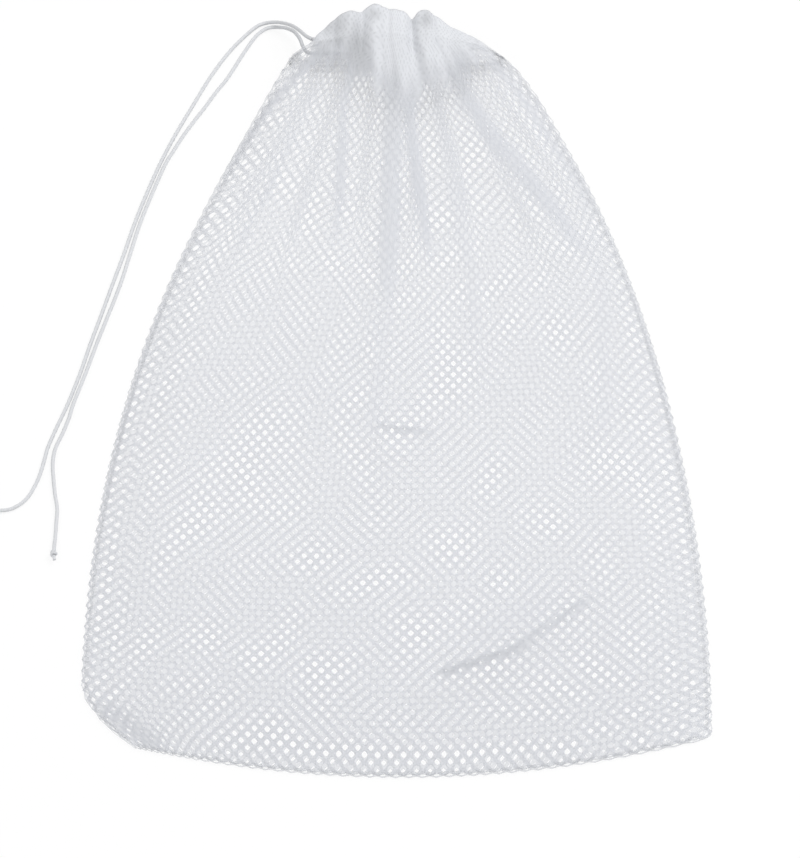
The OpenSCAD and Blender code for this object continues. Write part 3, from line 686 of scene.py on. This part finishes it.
def knitNet(name, place, normal, openShare, bunched, paintedShade, lean, stretch, seed):
    # meshes of the net: a lens-shaped band between every two holes, and eight points round each hole;
    # the meshes lean a little in the middle and run along the seams at the edges
    a, b, reach = netFacts["across"] / 2, netFacts["along"] / 2 * stretch, netFacts["reach"]
    ni, nj = int(round(netFacts["half"] / a)), int(reach / b) + 2
    i, j = np.meshgrid(np.arange(-ni, ni + 1), np.arange(0, nj + 1), indexing="ij")
    p, q = i * a, j * b
    far, near = netFacts["unevenness"], netFacts["closeUnevenness"]
    strayS = far * slowWaves(p, q, seed) + near * slowWaves(p * 3, q * 3, seed + 1)
    strayT = far * slowWaves(p, q, seed + 2) + near * slowWaves(p * 3, q * 3, seed + 3)
    s = p + (1 - np.abs(p / p.max()) ** 6) * (strayS - lean * (q - 300))
    t = q + smoothStep(0, 70, q) * (strayT + lean * p)
    # the net ends in the seams
    s = np.sign(s) * np.interp(np.abs(s), (0, 182, 195.3, 199.5), (0, 182.4, 198.0, 199.6))
    t = np.interp(t, (0, 4.5, 18, 700), (0.3, 1.4, 17, 700))
    hole = ((i + j) % 2 == 1) & (np.abs(i) < ni) & (j > 0) & (t < reach)
    t = np.minimum(t, reach)
    hole[:, -1] = False
    hi, hj = np.nonzero(hole)
    corners = [(hi - 1, hj), (hi, hj - 1), (hi + 1, hj), (hi, hj + 1)]
    cs = np.stack([s[k] for k in corners], 1)
    ct = np.stack([t[k] for k in corners], 1)
    wideS, wideT = cs[:, 2] - cs[:, 0], ct[:, 2] - ct[:, 0]
    tallS, tallT = cs[:, 3] - cs[:, 1], ct[:, 3] - ct[:, 1]
    keep = 0.5 * np.abs(wideS * tallT - tallS * wideT) > 0.3 * 2 * a * b
    hi, hj, cs, ct = hi[keep], hj[keep], cs[keep], ct[keep]
    corners = [(hi - 1, hj), (hi, hj - 1), (hi + 1, hj), (hi, hj + 1)]
    flat = np.stack([k[0] * i.shape[1] + k[1] for k in corners], 1)
    used, ring = np.unique(flat, return_inverse=True)
    ring = ring.reshape(flat.shape)
    ks, kt = s.ravel()[used], t.ravel()[used]
    knots, out = pickCloth(ks, kt, place), pickCloth(ks, kt, normal)
    count = len(ks)
    midS, midT = cs.mean(axis=1), ct.mean(axis=1)
    openMid = pickCloth(midS, midT, openShare)[:, 0]
    openHere = netFacts["least"] + (1 - netFacts["least"]) * openMid
    hs, ht = [], []
    for k in range(4):
        after = (k + 1) % 4
        sideS, sideT = 0.5 * (cs[:, k] + cs[:, after]), 0.5 * (ct[:, k] + ct[:, after])
        for to, atS, atT in ((netFacts["holeCorner"], cs[:, k], ct[:, k]),
                             (netFacts["holeSide"], sideS, sideT)):
            hs.append(midS + to * openHere * (atS - midS))
            ht.append(midT + to * openHere * (atT - midT))
    hs, ht = np.stack(hs, 1).ravel(), np.stack(ht, 1).ravel()
    holes = pickCloth(hs, ht, place)
    thick = netFacts["yarnHalf"]
    verts = np.vstack([knots + thick * out, knots - thick * out, holes])
    uv = np.vstack([np.stack([ks, kt], 1), np.stack([ks, kt], 1), np.stack([hs, ht], 1)])
    first = 2 * count + 8 * np.arange(len(hi))
    faces = []
    for k in range(4):
        n0, n1 = ring[:, k], ring[:, (k + 1) % 4]
        h0, h1, h2 = first + 2 * k, first + 2 * k + 1, first + (2 * k + 2) % 8
        for top in (True, False):
            p, q = (n0, n1) if top else (n0 + count, n1 + count)
            for tri in ((p, h1, h0), (p, q, h1), (q, h2, h1)):
                faces.append(np.stack(tri if top else tri[::-1], axis=1))
    edges = np.vstack([np.stack([ring[:, k], ring[:, (k + 1) % 4]], 1) for k in range(4)])
    _, where, times = np.unique(np.sort(edges, axis=1), axis=0, return_index=True, return_counts=True)
    p, q = edges[where[times == 1]].T
    faces.append(np.stack([q, p, p + count], axis=1))
    faces.append(np.stack([q, p + count, q + count], axis=1))
    faces = np.vstack(faces)
    print(name, len(hi), "meshes", len(faces), "triangles")
    piece = meshObject(name, verts, faces, meshCloth, uv)
    ends = np.zeros(2 * len(piece.data.edges), int)
    piece.data.edges.foreach_get("vertices", ends)
    rims = (ends.reshape(-1, 2) >= 2 * count).all(axis=1)  # edges round the holes
    piece.data.edges.foreach_set("use_edge_sharp", rims)
    for field, value in (("bunched", bunched), ("paintedShade", paintedShade)):
        atKnots, atHoles = pickCloth(ks, kt, value)[:, 0], pickCloth(hs, ht, value)[:, 0]
        setValue(piece, field, np.concatenate([atKnots, atKnots, atHoles]))
    return piece


frontNet = knitNet("frontNet", frontPlace, frontNormal, frontOpen, frontBunched, frontPaintedShade,
                   lean=0.045, stretch=1.0, seed=0.3)
backNet = knitNet("backNet", backPlace, backNormal, backOpen, backBunched, backPaintedShade,
                  lean=-0.055, stretch=1.02, seed=3.2)


# hem: two plies of bunched net over the cord, joined at the top fold and at the stitching; the front's
# lower ply thins out over the gathers below
hemFacts = dict(frontLow=490.0, backLow=557.0, outer=0.95, skin=0.6, inner=0.45, channelLow=266.0,
                channelHigh=280.0, frontChannel=19.8, backChannel=8.3, backFloor=4.4, lowest=0.1,
                thinnest=0.02)


def hemCasing(name, place, normal, paintedShade, cover, front):
    rows = np.nonzero(gridT >= (hemFacts["frontLow"] if front else hemFacts["backLow"]))[0]
    cols = np.arange(1, len(gridS) - 1)
    mid, n = place[np.ix_(rows, cols)], normal[np.ix_(rows, cols)]
    y = mid[..., 1]
    # the plies swell round the cord's channel
    room = smoothStep(hemFacts["channelLow"], hemFacts["channelLow"] + 3, y)
    room = room * (1 - smoothStep(hemFacts["channelHigh"] - 3, hemFacts["channelHigh"], y))
    if front:
        ply = smoothStep(557, 573, gridT[rows])[:, None, None]
        upper = mid + (hemFacts["skin"] + (hemFacts["outer"] - hemFacts["skin"]) * ply) * n
        lower = mid - (hemFacts["skin"] + (hemFacts["inner"] - hemFacts["skin"]) * ply) * n
        sunk = np.minimum(lower[..., 2], hemFacts["frontChannel"])
        lower[..., 2] = (1 - room) * lower[..., 2] + room * sunk
    else:
        upper, lower = mid + hemFacts["inner"] * n, mid - hemFacts["inner"] * n
        upper[..., 2] = (1 - room) * upper[..., 2] + room * np.maximum(upper[..., 2], hemFacts["backChannel"])
        lower[..., 2] = (1 - room) * lower[..., 2] + room * np.minimum(lower[..., 2], hemFacts["backFloor"])
        lower[..., 2] = np.maximum(lower[..., 2], hemFacts["lowest"])
    r, m = len(rows), len(cols)
    covered = cover[np.ix_(rows, cols)].ravel()
    i, j = np.meshgrid(np.arange(r - 1), np.arange(m - 1), indexing="ij")
    quad = np.stack([i * m + j, i * m + j + 1, (i + 1) * m + j + 1, (i + 1) * m + j], axis=-1).reshape(-1, 4)
    quad = quad[covered[quad].max(axis=1) > (hemFacts["thinnest"] if front else 0.0)]
    used, quad = np.unique(quad, return_inverse=True)
    quad = quad.reshape(-1, 4)
    sides = np.vstack([quad[:, (k, (k + 1) % 4)] for k in range(4)])
    _, where, times = np.unique(np.sort(sides, axis=1), axis=0, return_index=True, return_counts=True)
    p, q = sides[where[times == 1]].T
    count = len(used)
    faces = np.vstack([quad, quad[:, ::-1] + count, np.stack([q, p, p + count, q + count], axis=1)])
    uv = np.stack([np.tile(gridS[cols], r), np.repeat(gridT[rows], m)], axis=1)[used]
    verts = np.vstack([upper.reshape(-1, 3)[used], lower.reshape(-1, 3)[used]])
    piece = meshObject(name, verts, faces, hemCloth, np.vstack([uv, uv]))
    setValue(piece, "paintedShade", np.tile(paintedShade[np.ix_(rows, cols)].ravel()[used], 2))
    setValue(piece, "bunched", np.tile(covered[used], 2))
    print(name, len(faces), "faces")
    return piece


frontHem = hemCasing("frontHem", frontPlace, frontNormal, frontPaintedShade, frontCover, True)
backHem = hemCasing("backHem", backPlace, backNormal, backPaintedShade, backCover, False)


# seams: a rolled strip of cloth along each edge, between the two panels
seamFacts = dict(halfWidth=1.1, halfHeight=0.6, inset=2.6, height=1.75, sides=10, step=2.0, ripple=0.12,
                 rippleRate=2.4, dense=0.04, stitch=2.6, thread=0.13, clear=0.1, threadDense=0.1)


def edgeLine(kind):
    if kind == "bottom":
        across = np.linspace(0.005, 0.995, 160)
        left, right = leftX(np.array(0.004)), rightX(np.array(0.004))
        x = left + across * (right - left)
        y = clothY(across, 0.0) + seamFacts["inset"]
        return np.stack([x, y, np.full_like(x, seamFacts["height"])], axis=1)
    share = np.linspace(0.012, 0.975, 220)
    edge = leftX(share) + seamFacts["inset"] if kind == "left" else rightX(share) - seamFacts["inset"]
    across = (edge - leftX(share)) / (rightX(share) - leftX(share))
    height = seamFacts["height"] + bagFacts["edgeRise"] * smoothStep(0.86, 1.0, share)
    return np.stack([edge, clothY(across, share), height], axis=1)


def rolledSeam(name, line):
    path, length = smoothPath(line[::4], seamFacts["step"])
    side, up = carriedFrames(path)
    sides, count = seamFacts["sides"], len(path)
    turn = np.arange(sides) * 2 * math.pi / sides
    ripple = np.sin(np.linspace(0, length, count) * seamFacts["rippleRate"])
    wave = 1 + seamFacts["ripple"] * ripple[:, None]
    outward = seamFacts["halfWidth"] * wave[..., None] * np.cos(turn)[None, :, None] * side[:, None, :]
    upward = seamFacts["halfHeight"] * np.sin(turn)[None, :, None] * up[:, None, :]
    verts = (path[:, None, :] + outward + upward).reshape(-1, 3)
    faces = ringQuads(count, sides).tolist()
    faces.append(list(range(sides))[::-1])
    faces.append(list(range((count - 1) * sides, count * sides)))
    piece = meshObject(name, verts, faces, seamCloth)
    setValue(piece, "bunched", np.repeat(seamFacts["dense"] + seamFacts["dense"] * ripple, sides))
    return piece


def overlockThread(name, line):
    # one thread that goes to and fro across the seam and over its edge
    path, _ = smoothPath(line[::4], seamFacts["stitch"] / 4)
    side, up = carriedFrames(path)
    step = np.arange(len(path)) % 4
    swing = np.array([0.0, 1.0, 0.0, -1.0])[step]
    lift = np.array([1.0, 0.15, 1.0, 0.15])[step]
    outward = side * (swing * (seamFacts["halfWidth"] + seamFacts["clear"]))[:, None]
    upward = up * (lift * (seamFacts["halfHeight"] + seamFacts["clear"]))[:, None]
    verts, faces = tubeMesh(path + outward + upward, seamFacts["thread"], 5)
    piece = meshObject(name, verts, faces, sewingThread)
    setValue(piece, "bunched", np.repeat(seamFacts["threadDense"] * lift, 5))
    return piece


seamSides = ("left", "right", "bottom")
leftSeam, rightSeam, bottomSeam = (rolledSeam(k + "Seam", edgeLine(k)) for k in seamSides)
leftThread, rightThread, bottomThread = (overlockThread(k + "Thread", edgeLine(k)) for k in seamSides)
print("seams sewn")


# hem stitching: short stitches that follow the gathers
stitchFacts = dict(row=563.0, length=3.2, pitch=5.0, reach=196.0, thread=0.15,
                   bow=(0.45, 0.9, 1.0, 0.9, 0.45), dense=(0.05, 0.2, 0.25, 0.2, 0.05),
                   frontLift=0.46, backLift=0.85)


def hemStitches(name, place, normal, lift):
    verts, faces, base = [], [], 0
    for centre in np.arange(-stitchFacts["reach"], stitchFacts["reach"] + 0.1, stitchFacts["pitch"]):
        s = np.linspace(centre - stitchFacts["length"] / 2, centre + stitchFacts["length"] / 2, 5)
        t = np.full(5, stitchFacts["row"])
        line = pickCloth(s, t, place)
        off = pickCloth(s, t, normal)
        bow = np.array(stitchFacts["bow"])[:, None]
        v, f = tubeMesh(line + off * lift * bow, stitchFacts["thread"], 6, offset=base)
        verts.append(v)
        faces += f
        base += len(v)
    piece = meshObject(name, np.vstack(verts), faces, sewingThread)
    setValue(piece, "bunched", np.tile(np.repeat(stitchFacts["dense"], 6), base // 30))
    return piece


frontStitches = hemStitches("frontStitches", frontPlace, frontNormal, stitchFacts["frontLift"])
backStitches = hemStitches("backStitches", backPlace, backNormal, stitchFacts["backLift"])

for piece, node, slot in (
    (frontNet, "front_panel", "mesh_cloth"),
    (backNet, "back_panel", "mesh_cloth"),
    (leftSeam, "left_side_seam", "seam_cloth"),
    (rightSeam, "right_side_seam", "seam_cloth"),
    (bottomSeam, "bottom_seam", "seam_cloth"),
    (leftThread, "left_seam_thread", "thread"),
    (rightThread, "right_seam_thread", "thread"),
    (bottomThread, "bottom_seam_thread", "thread"),
    (frontHem, "front_hem_casing", "seam_cloth"),
    (backHem, "back_hem_casing", "seam_cloth"),
    (frontStitches, "front_hem_stitching", "thread"),
    (backStitches, "back_hem_stitching", "thread"),
):
    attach(piece, "bag")
    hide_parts(node)
print("bag dressed")


# stage: a pale floor that reads white to the camera and keeps a soft shadow, and soft studio light
stageFacts = dict(floorSize=8.0, floorDrop=0.0004, floorTone=(0.92, 0.92, 0.92, 1), floorRoughness=0.9,
                  whiteShare=0.85, keyPlace=(1.4, 0.8, 2.4), keySize=1.6, key=40.0,
                  fillPlace=(-1.5, -0.8, 2.3), fillSize=2.0, fill=18.0, world=0.62)


def seenRays(tree):
    # rays that show the background: seen straight, mirrored or through clear pieces
    rays = tree.nodes.new("ShaderNodeLightPath")
    bounced = mathNode(tree, "MAXIMUM", rays.outputs["Is Glossy Ray"], rays.outputs["Is Transmission Ray"])
    return mathNode(tree, "MAXIMUM", rays.outputs["Is Camera Ray"], bounced)


def makeFloor():
    clearSelection()
    bpy.ops.mesh.primitive_plane_add(size=stageFacts["floorSize"], location=(0, 0, -stageFacts["floorDrop"]))
    floor = bpy.context.object
    floor.name = "floor"
    bpy.ops.object.transform_apply(location=True, rotation=True, scale=True)
    mat = bpy.data.materials.new("paleFloor")
    mat.use_nodes = True
    tree = mat.node_tree
    shader = tree.nodes["Principled BSDF"]
    shader.inputs["Base Color"].default_value = stageFacts["floorTone"]
    shader.inputs["Roughness"].default_value = stageFacts["floorRoughness"]
    shader.inputs["Specular IOR Level"].default_value = 0.0
    white = tree.nodes.new("ShaderNodeEmission")
    white.inputs["Color"].default_value = (1, 1, 1, 1)
    white.inputs["Strength"].default_value = 1.0
    share = mathNode(tree, "MULTIPLY", seenRays(tree), stageFacts["whiteShare"])
    mix = tree.nodes.new("ShaderNodeMixShader")
    tree.links.new(share, mix.inputs[0])
    tree.links.new(shader.outputs[0], mix.inputs[1])
    tree.links.new(white.outputs[0], mix.inputs[2])
    tree.links.new(mix.outputs[0], tree.nodes["Material Output"].inputs["Surface"])
    floor.data.materials.append(mat)


def softLamp(name, place, aim, size, power):
    data = bpy.data.lights.new(name, "AREA")
    data.shape = "SQUARE"
    data.size = size
    data.energy = power
    lamp = bpy.data.objects.new(name, data)
    lamp.location = place
    d = np.array(aim, float) - np.array(place, float)
    flat = math.hypot(d[0], d[1])
    lamp.rotation_euler = (math.atan2(flat, -d[2]), 0, math.atan2(-d[0], d[1]))
    bpy.context.scene.collection.objects.link(lamp)


makeFloor()
softLamp("keyLamp", stageFacts["keyPlace"], (0, 0, 0), stageFacts["keySize"], stageFacts["key"])
softLamp("fillLamp", stageFacts["fillPlace"], (0, 0, 0), stageFacts["fillSize"], stageFacts["fill"])
world = bpy.data.worlds.new("studio")
world.use_nodes = True
world.node_tree.nodes["Background"].inputs["Color"].default_value = (1, 1, 1, 1)
brighter = mathNode(world.node_tree, "MULTIPLY", seenRays(world.node_tree), 1 - stageFacts["world"])
strength = mathNode(world.node_tree, "ADD", brighter, stageFacts["world"])
world.node_tree.links.new(strength, world.node_tree.nodes["Background"].inputs["Strength"])
bpy.context.scene.world = world
bpy.context.scene.view_settings.view_transform = "Standard"
print("stage lit")
